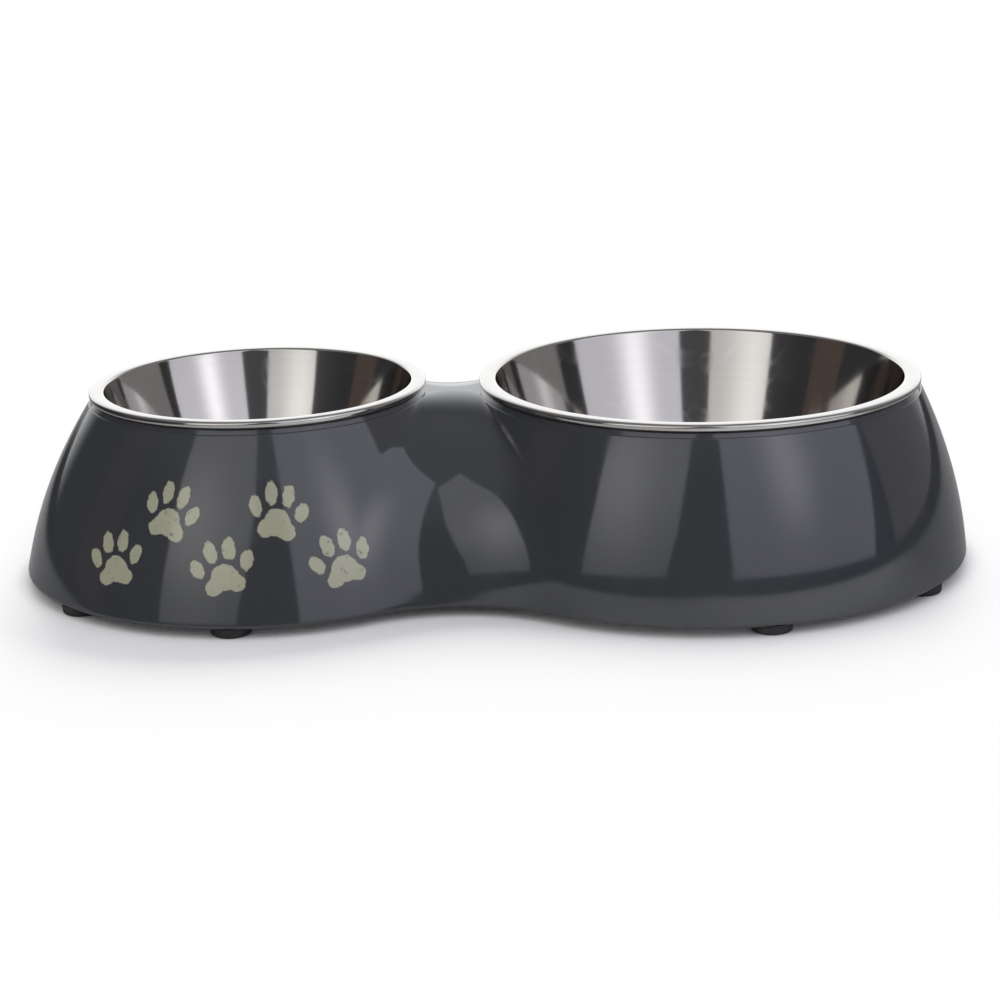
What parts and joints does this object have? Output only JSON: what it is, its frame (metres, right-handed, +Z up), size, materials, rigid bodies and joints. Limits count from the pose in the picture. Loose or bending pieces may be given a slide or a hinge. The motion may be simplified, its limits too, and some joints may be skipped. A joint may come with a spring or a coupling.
{
  "type": "double pet bowl",
  "caption": "Raised feeder for a small pet: a hollow moulded stand, figure-eight in plan, with a small and a larger lift-out steel bowl and rubber feet.",
  "frame": {"origin": "on the table under the rubber feet, midway between the two ends of the stand", "axes": "+X from the small bowl to the large one, +Y to the back, +Z up"},
  "size_m": [0.3296, 0.1864, 0.0657],
  "materials": {
    "stand": "glossy",
    "steel": "polished",
    "rubber": "matte"
  },
  "bodies": {
    "stand": {"stand": "stand", "foot_small_front_outer": "rubber", "foot_small_front_inner": "rubber", "foot_small_rear_inner": "rubber", "foot_small_rear_outer": "rubber", "foot_large_front_outer": "rubber", "foot_large_front_inner": "rubber", "foot_large_rear_inner": "rubber", "foot_large_rear_outer": "rubber"},
    "small_bowl": {"small_bowl": "steel"},
    "large_bowl": {"large_bowl": "steel"}
  },
  "joints": [
    {"name": "small_bowl_lift", "type": "slide", "parent": "stand", "child": "small_bowl", "axis": [0, 0, 1], "range_m": [0, 0.05]},
    {"name": "large_bowl_lift", "type": "slide", "parent": "stand", "child": "large_bowl", "axis": [0, 0, 1], "range_m": [0, 0.06]}
  ]
}
